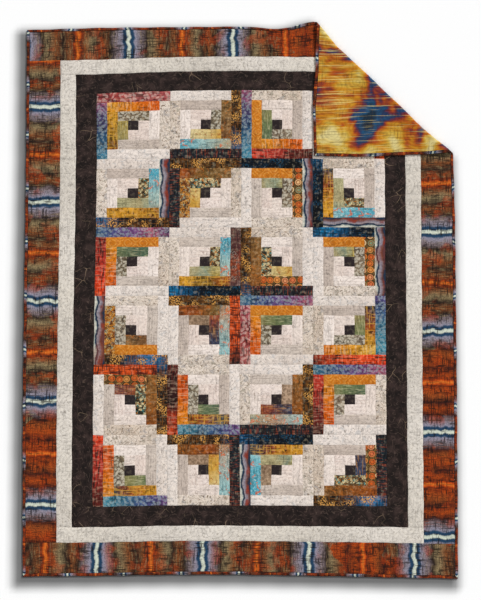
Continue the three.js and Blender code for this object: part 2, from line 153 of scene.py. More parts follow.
def knot_weights(knots, at):
    """How much each knot counts at each place on a smooth curve through the knots."""
    knots = np.array(knots, float)
    count = len(knots)
    here = np.eye(count)
    slope = np.zeros((count, count))
    for i in range(count):
        low, high = max(i - 1, 0), min(i + 1, count - 1)
        slope[i, high] += 1 / (knots[high] - knots[low])
        slope[i, low] -= 1 / (knots[high] - knots[low])
    i = np.clip(np.searchsorted(knots, at) - 1, 0, count - 2)
    gap = knots[i + 1] - knots[i]
    t = np.clip((at - knots[i]) / gap, 0, 1)
    start = (1 + 2 * t) * (1 - t) ** 2
    leave = gap * t * (1 - t) ** 2
    arrive = gap * t * t * (t - 1)
    return (
        start[:, None] * here[i] + (1 - start)[:, None] * here[i + 1]
        + leave[:, None] * slope[i] + arrive[:, None] * slope[i + 1]
    )


def creep(x, y):
    """How far the cloth has shifted right and up from its true place."""
    across, down = knot_weights(LINES_DOWN, x), knot_weights(LINES_ACROSS, y)
    right = ((down @ CREEP_RIGHT) * across).sum(1)
    up = ((down @ CREEP_UP) * across).sum(1)
    dip = DIP_DEPTH * (1 - ease(np.abs(x - DIP_AT), 0, BLOCK / 2)) * ramp(y, MIDDLE_Y, EDGE_Y)
    right = right + WAVER * np.sin(y / WAVER_RIGHT_LENGTH + 2 * np.sin(x / WAVER_RIGHT_DRIFT))
    up = up + WAVER * np.sin(x / WAVER_UP_LENGTH + 2 * np.sin(y / WAVER_UP_DRIFT))
    return right, up - dip


# %% [markdown]
# The folded corner
#
# The top right corner is folded over at 45 degrees. The cloth turns round a small radius, comes down at a
# gentle slope and settles flat on the blocks. The fold is a formula on the flat cloth, so every layer
# bends with it.
# %% Fold
FOLD_CLEAR_OF_FIELD = 1 * MM
FOLD_RADIUS = 6.5 * MM
FOLD_SLOPE = math.radians(6)
SETTLE_RADIUS = 200 * MM
LAYERS_APART = 0.5 * MM
LIE_HEIGHT = 5.0 * MM + LAYERS_APART
CREEP_LENGTH = 150 * MM
CORNER_SLIP = (-16 * MM, -10 * MM)
PEAK_RISE = 16 * MM
PEAK_RUN = 60 * MM

FOLD_START = (FIELD_X + FIELD_Y) / math.sqrt(2) + FOLD_CLEAR_OF_FIELD
TURN_END = FOLD_RADIUS * (math.pi + FOLD_SLOPE)
SETTLE = SETTLE_RADIUS * FOLD_SLOPE
DROP = FOLD_RADIUS * (1 + math.cos(FOLD_SLOPE)) - SETTLE_RADIUS * (1 - math.cos(FOLD_SLOPE)) - LIE_HEIGHT
SLOPE_END = TURN_END + DROP / math.sin(FOLD_SLOPE)
SETTLE_END = SLOPE_END + SETTLE
SLIP_END = SETTLE_END + CREEP_LENGTH
PEAK_FROM = FOLD_START - math.sqrt(2) * EDGE_Y
PEAK_TO = SETTLE_END + FOLD_START - math.sqrt(2) * OUTER_Y
print("cloth folded over, m", (EDGE_X + EDGE_Y) / math.sqrt(2) - FOLD_START)

# The frame's box is centred, and the cloth's top left and bottom right corners are its lowest x and y.
SHIFT_X = cad_box[0][0] + EDGE_X - CREEP_RIGHT[-1, 0]
SHIFT_Y = cad_box[0][1] + EDGE_Y - CREEP_UP[0, -1]


def past_fold(x, y):
    return (x + y) / math.sqrt(2) - FOLD_START


def fold_curve(length):
    """How far forward and up the cloth's middle height runs past the fold's start, and its heading."""
    turned = math.pi + FOLD_SLOPE
    heading = np.clip(length, 0, TURN_END) / FOLD_RADIUS
    heading -= (np.clip(length, SLOPE_END, SETTLE_END) - SLOPE_END) / SETTLE_RADIUS
    turning = np.minimum(heading, turned)
    forward = FOLD_RADIUS * np.sin(turning)
    up = FOLD_RADIUS * (1 - np.cos(turning))
    slope = np.clip(length, TURN_END, SLOPE_END) - TURN_END
    settled = length > SLOPE_END
    forward = np.where(settled, FOLD_RADIUS * math.sin(turned), forward) + slope * math.cos(turned)
    up = np.where(settled, FOLD_RADIUS * (1 - math.cos(turned)), up) + slope * math.sin(turned)
    forward -= np.where(settled, SETTLE_RADIUS * (np.sin(heading) - math.sin(turned)), 0)
    up += np.where(settled, SETTLE_RADIUS * (np.cos(heading) - math.cos(turned)), 0)
    return forward - np.maximum(length - SETTLE_END, 0), up, heading


def lay(x, y, height):
    """Places on the flat cloth and heights in it, as points of the quilt that lies on the floor."""
    past = past_fold(x, y)
    right, up = creep(x, y)
    forward, rise, heading = fold_curve(past)
    folded = past > 0
    step = np.where(folded, forward - (height - MIDDLE_HEIGHT) * np.sin(heading) - past, 0) / math.sqrt(2)
    high = np.where(folded, MIDDLE_HEIGHT + rise + (height - MIDDLE_HEIGHT) * np.cos(heading), height)
    slip = ease(past, SETTLE_END, SLIP_END)
    along = (x - y) / math.sqrt(2)
    peak = np.maximum(0, (PEAK_TO - along) / (PEAK_TO - PEAK_FROM)) * ramp(past, -PEAK_RUN, 0)
    x = x + right + step + CORNER_SLIP[0] * slip + SHIFT_X
    y = y + up + step + CORNER_SLIP[1] * slip + PEAK_RISE * peak + SHIFT_Y
    return np.stack([x, y, high], axis=1)


# %% [markdown]
# Quilting
#
# The three layers are stitched together along swirls about 13 mm apart. Each line pulls the cloth down
# and the batting puffs up between lines. The swirls are spirals about scattered centres, and a line runs
# where two meet.
# %% Relief of the quilting
SWIRL = 95 * MM
SWIRL_SEED = 11
SWIRL_SCATTER = 0.32
SWIRL_REPEAT = 41
SWIRL_WAYS = np.random.default_rng(SWIRL_SEED).uniform(
    -SWIRL_SCATTER, SWIRL_SCATTER, (SWIRL_REPEAT, SWIRL_REPEAT, 2)
)
RIDGE_FULLNESS = 0.6
PUFF_RUN = 4 * MM


def swirls(x, y):
    """From 0 on a spiral of stitches to 1 between its turns, and the distance to the next spiral."""
    column, row = np.floor(x / SWIRL), np.floor(y / SWIRL)
    near = np.full(len(x), np.inf)
    second = near.copy()
    angle = np.zeros(len(x))
    turn = np.ones(len(x))
    for i in (-1, 0, 1):
        for j in (-1, 0, 1):
            way = SWIRL_WAYS[(column + i).astype(int) % SWIRL_REPEAT, (row + j).astype(int) % SWIRL_REPEAT]
            dx = x - (column + i + 0.5 + way[:, 0]) * SWIRL
            dy = y - (row + j + 0.5 + way[:, 1]) * SWIRL
            far = np.hypot(dx, dy)
            nearest = far < near
            second = np.where(nearest, near, np.minimum(second, far))
            angle = np.where(nearest, np.arctan2(dy, dx), angle)
            turn = np.where(nearest, np.sign(way[:, 0]), turn)
            near = np.where(nearest, far, near)
    ring = near / STITCH_SPACING + turn * angle / (2 * math.pi)
    return np.abs(np.sin(math.pi * ring)) ** RIDGE_FULLNESS, second - near


def quilting(x, y):
    """From 0 on a line of stitches to 1 between lines."""
    ridge, apart = swirls(x, y)
    return ridge * ease(apart, 0, STITCH_SPACING)


def puff(depth):
    """How far a patch has risen at some distance from its seam, from 0 to 1."""
    return 1 - np.exp(-np.maximum(depth, 0) / PUFF_RUN)


# %% [markdown]
# Sewn pieces
#
# A piece of the top is a fine grid with its rim drawn down to a plain underside, which is one face, cut
# where the cloth folds. The grid is moved to its heights and laid in place only when the mesh is done, so
# it stays neat.
# %% Grids and boxes
def flat_grid(box, cell):
    """A grid at height 1 that fills a box of (left, bottom, right, top), less its half of the gaps."""
    left, bottom, right, top = box
    steps = {"x_segments": round((right - left) / cell), "y_segments": round((top - bottom) / cell)}
    left, bottom, right, top = left + GAP / 2, bottom + GAP / 2, right - GAP / 2, top - GAP / 2
    middle = Matrix.Translation(((left + right) / 2, (bottom + top) / 2, 1))
    size = Matrix.Diagonal((right - left, top - bottom, 1, 1))
    bm = bmesh.new()
    bmesh.ops.create_grid(bm, **steps, size=0.5, matrix=middle @ size)
    return bm


def inside_box(box, x, y):
    """How deep each place lies inside a box, less than 0 outside it."""
    left, bottom, right, top = box
    return np.minimum.reduce([x - left, right - x, y - bottom, top - y])


def uv_on_strip(box, x, y, start, strip, way=1):
    """Places along and across the strip of cloth that a box was cut from; an upright box runs down."""
    left, bottom, right, top = box
    upright = top - bottom > right - left + GAP
    along = np.where(upright, top - y, x - left)
    across = np.where(upright, x - (left + right) / 2, y - (bottom + top) / 2)
    return np.stack([start + way * along, strip + across], axis=1)


# %% Rim and underside
SAME_PLACE = 1e-6
TURN_CUTS = 9
CUT_SPACING = 30 * MM
FOLD_STRETCHES = [
    *np.linspace(0, TURN_END, TURN_CUTS), SLOPE_END, (SLOPE_END + SETTLE_END) / 2, SETTLE_END, SLIP_END
]
FOLD_LINES = [FOLD_START + length for length in FOLD_STRETCHES]
LINES_ALONG_FOLD = np.arange(PEAK_FROM, -PEAK_FROM, CUT_SPACING)
print("cuts of the underside", len(FOLD_LINES), "across the fold", len(LINES_ALONG_FOLD), "along it")


def only(kind, elements):
    return [element for element in elements if isinstance(element, kind)]


def rim_of(bm):
    return [edge for edge in bm.edges if edge.is_boundary]


def draw_rim(bm, height):
    """Extrudes the rim to another height and closes it with one face, cut into small ones where it folds."""
    rim = rim_of(bm)
    for edge in rim:
        edge.smooth = False
    wall = bmesh.ops.extrude_edge_only(bm, edges=rim)["geom"]
    for vert in only(bmesh.types.BMVert, wall):
        vert.co.z = height
    hem = [edge for edge in only(bmesh.types.BMEdge, wall) if edge.is_boundary]
    closed = bmesh.ops.contextual_create(bm, geom=hem)["faces"]
    for way, places in ((Vector((1, 1, 0)), FOLD_LINES), (Vector((1, -1, 0)), LINES_ALONG_FOLD)):
        way.normalize()
        for place in places:
            folds = [face for face in closed if max(past_fold(*vert.co.xy) for vert in face.verts) > 0]
            part = {element for face in folds for element in (face, *face.edges, *face.verts)}
            cut = bmesh.ops.bisect_plane(
                bm, geom=list(part), dist=SAME_PLACE, plane_co=way * place, plane_no=way
            )["geom"]
            closed = only(bmesh.types.BMFace, cut)
    bmesh.ops.recalc_face_normals(bm, faces=bm.faces)


# %% Finished piece
def mesh_of(name, bm):
    mesh = bpy.data.meshes.new(name)
    bm.to_mesh(mesh)
    bm.free()
    return mesh


def read(elements, name, width=1, kind=float):
    """One number or row of numbers for each vertex, corner or face of a mesh."""
    values = np.zeros(len(elements) * width, kind)
    elements.foreach_get(name, values)
    return values.reshape(-1, width) if width > 1 else values


def write(elements, name, values):
    elements.foreach_set(name, values.astype(np.float32).ravel())


def add_object(name, data):
    obj = bpy.data.objects.new(name, data)
    bpy.context.scene.collection.objects.link(obj)
    return obj


def finish_piece(name, bm, heights, cloths, uv_of, cloth_of=None):
    """Makes the object, gives each vertex its height, lays the cloth in place and maps the print."""
    mesh = mesh_of(name, bm)
    flat = read(mesh.vertices, "co", 3)
    x, y = flat[:, 0], flat[:, 1]
    corner = read(mesh.loops, "vertex_index", kind=np.int32)
    sides = read(mesh.polygons, "loop_total", kind=np.int32)
    middles = read(mesh.polygons, "center", 3)
    patch = cloth_of(middles[:, 0], middles[:, 1]) if cloth_of else np.zeros(len(sides), int)
    uv = mesh.uv_layers.new(name="cloth")
    write(uv.data, "uv", uv_of(x[corner], y[corner], np.repeat(patch, sides)))
    write(mesh.vertices, "co", lay(x, y, heights(*flat.T)))
    # Where the stitch lines run, kept for the cloths to paint dark thread and the shade of the grooves.
    thread_and_groove_shade = mesh.attributes.new("thread_and_groove_shade", "FLOAT", "POINT")
    write(thread_and_groove_shade.data, "value", 1 - swirls(x, y)[0])
    mesh.polygons.foreach_set("use_smooth", sides == 4)
    for cloth in cloths:
        mesh.materials.append(cloth)
    if len(cloths) > 1:
        mesh.polygons.foreach_set("material_index", np.asarray(patch, np.int32))
    mesh.update()
    return add_object(name, mesh)


def top_height(depth_of):
    """The heights of a piece of the top, whose patches puff up away from their seams."""
    def heights(x, y, layer):
        rise = puff(depth_of(x, y)) * (PATCH_RISE + QUILTING_RISE * quilting(x, y))
        return np.where(layer > 0.5, SEAM_HEIGHT + rise, TOP_UNDERSIDE)
    return heights


# %% [markdown]
# Shader sums in plain Python
#
# A printed cotton is a lot of small sums. A wire is the output of a node, and sums on wires add Math
# nodes, so a print's formula reads as it would on paper. Colours go through Mix nodes.
# %% Wires and paint
class Wire:
    def __init__(self, paint, socket):
        self.paint = paint
        self.socket = socket

    def __add__(self, other):
        return self.paint.maths("ADD", self, other)

    def __radd__(self, other):
        return self.paint.maths("ADD", other, self)

    def __sub__(self, other):
        return self.paint.maths("SUBTRACT", self, other)

    def __rsub__(self, other):
        return self.paint.maths("SUBTRACT", other, self)

    def __mul__(self, other):
        return self.paint.maths("MULTIPLY", self, other)

    def __rmul__(self, other):
        return self.paint.maths("MULTIPLY", other, self)


def colour(code):
    """A hex colour as the linear values that a shader takes."""
    parts = [int(code[i:i + 2], 16) / 255 for i in (0, 2, 4)]
    return [*(c / 12.92 if c <= 0.04045 else ((c + 0.055) / 1.055) ** 2.4 for c in parts), 1]


class Paint:
    """One material, and the few kinds of node that the prints are made of."""

    def __init__(self, name):
        self.material = bpy.data.materials.new(name)
        self.material.use_nodes = True
        self.tree = self.material.node_tree
        self.shader = self.tree.nodes["Principled BSDF"]

    def read_place(self):
        """Reads the place along and across the cloth from the piece's UV map."""
        place = self.node("ShaderNodeUVMap", {"uv_map": "cloth"}, {})
        self.along = self.node("ShaderNodeSeparateXYZ", {}, {0: place})
        self.across = Wire(self, self.along.socket.node.outputs[1])

    def put(self, socket, value):
        if isinstance(value, Wire):
            self.tree.links.new(value.socket, socket)
        elif isinstance(value, str):
            socket.default_value = colour(value)
        else:
            socket.default_value = value

    def node(self, kind, settings, inputs, output=0):
        """One node of a type, with its settings, and the values or links of its sockets."""
        made = self.tree.nodes.new(kind)
        stops = settings.pop("stops", None)
        for name, value in settings.items():
            setattr(made, name, value)
        if stops:
            elements = made.color_ramp.elements
            while len(elements) < len(stops):
                elements.new(0.5)
            for element, (at, code) in zip(elements, stops):
                element.position = at
                element.color = colour(code)
        for name, value in inputs.items():
            self.put(made.inputs[name], value)
        return Wire(self, made.outputs[output])

    def maths(self, operation, *values):
        return self.node("ShaderNodeMath", {"operation": operation}, dict(enumerate(values)))

    def sine(self, value):
        return self.maths("SINE", value)

    def fraction(self, value):
        return self.maths("FRACT", value)

    def step(self, value, low, high):
        """0 below low, 1 above high, and a straight rise between; high may be the lower one."""
        return self.node("ShaderNodeMapRange", {}, {0: value, 1: low, 2: high, 3: 0.0, 4: 1.0})

    def at(self, right, up):
        return self.node("ShaderNodeCombineXYZ", {}, {0: right, 1: up})

    def noise(self, scale, detail=2.0, stretch=(1, 1), warp=0.0):
        """Noise from 0 to 1, with about scale spots to a metre, drawn out by stretch along and across."""
        where = self.at(self.along * (scale / stretch[0]), self.across * (scale / stretch[1]))
        return self.node(
            "ShaderNodeTexNoise", {"noise_dimensions": "2D"},
            {"Vector": where, "Scale": 1.0, "Detail": detail, "Distortion": warp},
        )

    def spots(self, low, high, *noise, **drawn_out):
        """Spots where noise rises from low to high."""
        return self.step(self.noise(*noise, **drawn_out), low, high)

    def cells(self, size, warp, feature="F1"):
        """The distance in cells of about size, with their outlines pushed about by warp."""
        push = self.noise(0.5 / size, 1.0) - 0.5
        where = self.at(self.along + push * warp, self.across - push * warp)
        settings = {"voronoi_dimensions": "2D", "feature": feature}
        return self.node("ShaderNodeTexVoronoi", settings, {"Vector": where, "Scale": 1 / size})

    def mix(self, share, under, over):
        return self.node("ShaderNodeMix", {"data_type": "RGBA"}, {0: share, 6: under, 7: over}, 2)

    def ramp(self, value, stops, kind="LINEAR"):
        """Colours by value, from pairs of a place and a colour."""
        made = self.node("ShaderNodeValToRGB", {"stops": stops}, {0: value})
        made.socket.node.color_ramp.interpolation = kind
        return made


# %% [markdown]
# Marks of a print
#
# Each kind of mark is a mask: where it is 1 the mark's colour shows. Brush hatching is noise drawn out
# thin one way and then the other. Ogees are a lattice of old block prints. Petals are cells bent by
# noise.
# %% Marks
def hatch(paint, size):
    """Crossing strokes of a dry brush."""
    one_way = paint.spots(0.52, 0.62, 1 / size, stretch=(9, 0.9))
    other_way = paint.spots(0.54, 0.64, 1 / size, stretch=(0.9, 9))
    return paint.maths("MAXIMUM", one_way, other_way)


def strokes(paint, size):
    """Strokes that run along the strip."""
    return paint.spots(0.56, 0.62, 1 / size, 3.0, stretch=(7, 0.8), warp=0.3)


def drips(paint, size):
    """Strokes that run across the strip."""
    return paint.spots(0.55, 0.62, 1 / size, 3.0, stretch=(0.8, 6), warp=0.3)


def speckle(paint, size):
    """Clusters of small dots."""
    dots = paint.step(paint.cells(size, size), 0.42, 0.3)
    return dots * paint.spots(0.47, 0.6, 0.12 / size, 1.0)


def ogees(paint, size):
    """The nested, pointed ovals of a damask."""
    turn = 2 * math.pi / size
    lattice = paint.sine(paint.along * turn) + paint.sine(paint.across * turn + math.pi / 2)
    rings = paint.sine(lattice * 5.0 + paint.noise(2.5 / size, 1.0) * 1.5)
    return paint.step(rings, 0.0, 0.5) * paint.spots(0.3, 0.6, 4 / size)


def petals(paint, size):
    """Leaves and petals of all shapes."""
    far = paint.cells(size, size * 1.6)
    veins = paint.noise(6 / size)
    return paint.step(far + veins * 0.35, 0.62, 0.5)


def tangle(paint, size):
    """A dense small print of curls."""
    curls = paint.noise(0.9 / size, 1.0, warp=1.2) * 9.0
    return paint.step(paint.sine(curls * 2.0), 0.1, 0.6)


def threads(paint, size):
    """Fine wandering lines, broken here and there."""
    lines = paint.sine((paint.noise(0.2 / size) * 20.0 + paint.across * (1.2 / size)) * 2.0)
    broken = paint.spots(0.38, 0.52, 0.7 / size, 1.0)
    return paint.step(lines, 0.8, 0.98) * broken


def rules(paint, size):
    """Ruled lines that run along the strip, worn away in places."""
    lines = paint.sine((paint.across + paint.noise(12, 1.0) * 0.004) * (2 * math.pi / size))
    return paint.step(lines, 0.55, 0.95) * paint.spots(0.4, 0.58, 60, stretch=(3, 1))


def splash(paint, size):
    """A few larger blots."""
    return paint.spots(0.6, 0.66, 1 / size, 3.0, warp=0.6)


KINDS_OF_MARK = (hatch, strokes, drips, speckle, ogees, petals, tangle, threads, rules, splash)
MARKS = {kind.__name__: kind for kind in KINDS_OF_MARK}
print("kinds of mark", len(MARKS))

# %% [markdown]
# Printed cottons
#
# Quilting cotton is cut into strips, and its large prints change colour along a strip. So each cloth is a
# run of colours along its length, with ragged borders, and marks over it. A log then shows the stretch
# that it was cut at. The lines of stitches are darker in every cloth: dark thread, and painted shade in
# the grooves where the stitches pull the cloth down.
# %% Cloths
RUN_LENGTH = 640 * MM
RUN_RAGGED = 24 * MM
STRIP_PITCH = 100 * MM
WEAVE_PITCH = 0.45 * MM
STITCH_FROM, STITCH_TO = 0.4, 0.95
STITCH_SHADE = 0.36
CLOTH_LOOK = {"Roughness": 0.88, "Specular IOR Level": 0.12, "Sheen Weight": 0.03, "Sheen Roughness": 0.5}


def start_cloth(name):
    paint = Paint(name)
    paint.read_place()
    return paint


def finish_cloth(paint, shown):
    """The weave, a soft sheen, the colour, and painted groove shade and dark thread on the stitch lines."""
    warp = paint.sine(paint.along * (2 * math.pi / WEAVE_PITCH))
    weft = paint.sine(paint.across * (2 * math.pi / WEAVE_PITCH))
    height = warp * weft * 0.25 + paint.noise(260) * 0.9
    bump = paint.node("ShaderNodeBump", {}, {"Strength": 0.35, "Distance": 0.3 * MM, "Height": height})
    thread_and_groove_shade = paint.node("ShaderNodeAttribute", {"attribute_name": "thread_and_groove_shade"}, {}, 2)
    # Painted shade in the stitched grooves, together with the dark thread, darkens the colour along every
    # line.
    shown = paint.mix(paint.step(thread_and_groove_shade, STITCH_FROM, STITCH_TO) * STITCH_SHADE, shown, "1c1410")
    for name, value in {"Base Color": shown, "Normal": bump, **CLOTH_LOOK}.items():
        paint.put(paint.shader.inputs[name], value)
    return paint.material


def stops_of(text):
    """Places and colours, such as "0 e4581c, 210 cc4814", as pairs."""
    return [(float(at), code) for at, code in (stop.split() for stop in text.split(", "))]


def printed(name, run, marks, mottle=1.0):
    """A cotton whose colours follow run, in millimetres, under marks of a size, colour and strength."""
    paint = start_cloth(name)
    push = (paint.noise(34, 3.0) - 0.5) * (3.2 * RUN_RAGGED) + (paint.noise(190, 1.0) - 0.5) * RUN_RAGGED
    stops = [(at * MM / RUN_LENGTH, code) for at, code in stops_of(run)]
    shown = paint.ramp(paint.fraction((paint.along + push) * (1 / RUN_LENGTH)), [*stops, (1.0, stops[0][1])])
    shade = paint.noise(75, 3.0) - 0.5
    shown = paint.mix(paint.step(shade, 0.03, 0.15) * (0.12 * mottle), shown, "ffecc4")
    shown = paint.mix(paint.step(shade, -0.03, -0.16) * (0.4 * mottle), shown, "140e0a")
    worn = paint.spots(0.44, 0.6, 24)
    shown = paint.mix(hatch(paint, 6.5 * MM) * worn * (0.65 * mottle), shown, "140e0a")
    for mark in marks.split(", "):
        kind, size, code, strength = mark.split()
        shown = paint.mix(MARKS[kind](paint, float(size) * MM) * float(strength), shown, code)
    return finish_cloth(paint, shown)


LIGHT_MOTTLE = 0.4
DARK_PRINTS = {
    "plaid": ("warm_plaid", "0 e4581c, 210 cc4814, 250 703020, 290 2a2c32, 440 182830, 600 38282a",
        "drips 5.5 b04c28 0.45, hatch 5.5 0c0c10 0.85"),
    "night": ("night_and_gold", "0 1474a8, 50 14486c, 110 101418, 230 100e0c, 310 2c1e10, 450 342412, "
        "520 14110e, 570 0c3450", "hatch 5.5 8c541c 0.45, drips 6 060608 0.6, speckle 6 dca050 0.85"),
    "deep": ("deep_blue", "0 1478a8, 50 0c4c74, 110 081a2a, 300 050b12, 460 081420, 570 0c4c74",
        "hatch 6.5 030508 0.8, speckle 6 1c6488 0.3"),
    "ember": ("ember_red", "0 ec5020, 60 dc3c14, 130 bc3424, 200 a83428, 260 74241c, 350 401814, "
        "430 2c1210, 500 a83414, 580 d84c1c", "strokes 7.5 140a0a 0.85, drips 7.5 f0c4a8 0.15"),
    "rose": ("rose_red", "0 a84c58, 80 943c40, 150 a0403c, 190 a85c58, 250 a44c4c",
        "petals 15 e4c4b8 0.4, strokes 7 24100e 0.7"),
    "smoke": ("rust_smoke", "0 6c4c44, 80 542c2c, 150 98401c, 210 6c3c30, 270 7c7078, 400 542c2c",
        "hatch 6 201418 0.6, speckle 5 c8b8a8 0.35"),
    "dusk": ("dusk_blue", "0 4c98ac, 90 387088, 180 485488, 260 7c4c84, 330 b45c74, 400 5c4470, "
        "480 284c70, 560 3c7c98", "tangle 6 182430 0.5, petals 12 a8b8b8 0.35"),
    "mustard": ("mustard_damask", "0 d07c1c, 320 c46e16",
        "ogees 56 f4b458 0.5, tangle 6 8c4a12 0.45", 0.35),
    "flame": ("flame_orange", "0 e4ac2c, 90 e08c18, 190 e0640c, 290 d85008, 370 e87c10, 470 e0981c, "
        "560 d8a83c", "tangle 6 783408 0.45, drips 8 fcecc4 0.2"),
    "gold": ("old_gold", "0 cc8c20, 120 98601a, 220 c88c20, 300 68501a, 370 a04c14, 450 34444a, "
        "530 903a10, 590 bc8020", "splash 13 24140a 0.85, hatch 7 f0b848 0.4"),
    "tan": ("tan_brown", "0 846034, 120 966430, 220 8c501e, 300 9c4a1a, 380 80602f, 480 967044, "
        "560 70482a", "tangle 6 44280f 0.5, splash 18 b46420 0.5"),
    "aqua": ("aqua", "0 9cc4c4, 90 5cacbc, 190 4aa0b4, 270 98b8b4, 350 a49c80, 420 b0805c, 480 a0a498, "
        "570 90b8b8", "strokes 6 2c5860 0.55, splash 20 cc602c 0.8, threads 6 e4ece4 0.5", 0.6),
    "leafy": ("rust_leaves", "0 84481c, 200 9c5420, 400 703a18",
        "petals 17 cc842c 0.9, petals 12 e0b068 0.5, tangle 7.5 241208 0.85, splash 10 94b09c 0.6"),
    "olive": ("olive_green", "0 b89e50, 90 988a58, 180 6c7a50, 270 4e6450, 350 3c6450, 410 8c9a80, "
        "480 b0aa80, 550 b4a478, 600 8c9a84", "tangle 5 4c4a2c 0.45, strokes 5 d8d0a4 0.35", 0.6),
    "grey": ("grey_scrolls", "0 a08c74, 120 7c6c54, 230 a69884, 330 8a7660, 430 b0a08a, 540 74624e",
        "tangle 7 2c241c 0.75, petals 12 dcd4c0 0.5"),
    "petal": ("night_petals", "0 3c3424, 150 6c5230, 300 2c3028, 450 7c5830",
        "petals 16 d8c494 0.95, tangle 8 18120c 0.85, splash 12 b87028 0.8, splash 9 4c8c88 0.8"),
    "cream": ("cream_and_gold", "0 dcd0a4, 120 d4bc80, 190 cc9c40, 280 c4883a, 350 dcc494, 500 dcd0ac",
        "threads 6 9c7c2c 0.6, splash 12 9c541c 0.7", 0.5),
    "sunset": ("sunset", "0 a8602c, 80 b85a20, 140 8c4430, 190 4c4450, 270 2c4464, 350 345064, 430 6c4048, "
        "520 a4582c", "strokes 6 c88c44 0.5, hatch 5 20182c 0.5"),
    "taupe": ("taupe_petals", "0 c4a68c, 150 b89a80, 300 a0846a, 450 c0a488",
        "petals 14 54402e 0.5, tangle 6 6c4c30 0.35", 0.5),
}
LIGHT_PRINTS = {
    "blush": ("blush_cream", "0 e8d9ce, 220 e4d2c7, 430 ecddd4",
        "threads 8 84685c 0.5, rules 12 c8b0a4 0.5"),
    "ivory": ("ivory_lines", "0 e6dad0, 220 dfd1c6, 430 e9ddd4",
        "threads 8 60564e 0.6, splash 16 b8b8b8 0.5"),
    "stone": ("stone_rules", "0 cabaae, 220 d0c2b6, 430 c0b0a4",
        "rules 9 98887c 0.6, threads 8 6c6058 0.6"),
    "scroll": ("cream_scrolls", "0 e0d2c4, 220 d4c2b0, 430 e2d4c6",
        "splash 15 a09888 0.75, splash 22 8c8c90 0.5, threads 8 5c4430 0.85, threads 5.5 8c6c4c 0.6"),
    "papers": ("cream_papers", "0 ecded4, 200 e7d7cc, 430 efe2d9",
        "rules 11 b4a498 0.5, threads 8 7c6a5c 0.5"),
}
DARKS = {cut: printed(*recipe) for cut, recipe in DARK_PRINTS.items()}
LIGHTS = {cut: printed(*recipe, LIGHT_MOTTLE) for cut, recipe in LIGHT_PRINTS.items()}
print("printed cottons", len(DARKS) + len(LIGHTS))

# %% [markdown]
# Two special cottons
#
# One dark cotton is printed in long wavy bands, and one in a row of round tiles. Both have to sit right
# across a log, so they read the place across the strip, which is the same on every log.
# %% Wavy bands and round tiles
WAVE_LENGTH = 95 * MM
WAVE_HEIGHT = 4 * MM
TILE = 27 * MM


def across_strip(paint):
    """The place across one strip, in metres from its middle."""
    return (paint.fraction(paint.across * (1 / STRIP_PITCH) + 0.5) - 0.5) * STRIP_PITCH


def wavy_bands(name):
    paint = start_cloth(name)
    wave = paint.sine(paint.along * (2 * math.pi / WAVE_LENGTH)) * WAVE_HEIGHT
    ragged = (paint.noise(70, 3.0) - 0.5) * (9 * MM)
    place = (across_strip(paint) + wave + ragged) * (1 / LOG) + 0.5
    bands = paint.ramp(place, stops_of(
        "0 dcd8c8, 0.12 bcc0b4, 0.2 1c3850, 0.3 1c2c40, 0.4 a0989c, 0.55 8c8490, 0.7 7c5c58, "
        "0.82 543430, 0.94 1c3044"
    ))
    blots = paint.spots(0.5, 0.62, 26, stretch=(1.4, 0.8))
    middle = paint.step(place, 0.38, 0.55) * paint.step(place, 0.98, 0.8)
    shown = paint.mix(blots * middle * 0.85, bands, "8c3018")
    shown = paint.mix(paint.spots(0.58, 0.66, 6, 1.0) * 0.45, shown, "8c401c")
    shown = paint.mix(hatch(paint, 3.0 * MM) * 0.35, shown, "2a1a24")
    return finish_cloth(paint, shown)


def round_tiles(name):
    paint = start_cloth(name)
    where = paint.at(paint.along * (1 / TILE), across_strip(paint) * (1 / TILE))
    sockets = {"Vector": where, "Scale": 1.0, "Randomness": 0.2}
    far = paint.node("ShaderNodeTexVoronoi", {"voronoi_dimensions": "2D"}, sockets)
    chance = Wire(paint, far.socket.node.outputs["Color"])
    chosen = paint.node("ShaderNodeSeparateColor", {}, {0: chance})
    tile = paint.ramp(chosen, stops_of(
        "0 d87c1c, 0.2 f0d8a8, 0.36 cc4414, 0.52 d8842c, 0.66 648c70, 0.78 c44c14"
    ))
    ring = paint.step(paint.sine(far * 18 + math.pi), -0.1, 0.4)
    tile = paint.mix(ring * 0.8, tile, "6c2008")
    shown = paint.mix(paint.step(far, 0.4, 0.46), tile, "1c100a")
    shown = paint.mix(tangle(paint, 4.5 * MM) * 0.3, shown, "e8b060")
    return finish_cloth(paint, shown)


DARKS["wave"] = wavy_bands("wavy_bands")
DARKS["tiles"] = round_tiles("round_tiles")
CENTRE = printed("warm_black", "0 282022, 300 221a1c", "tangle 3 3c3230 0.3", mottle=0.4)

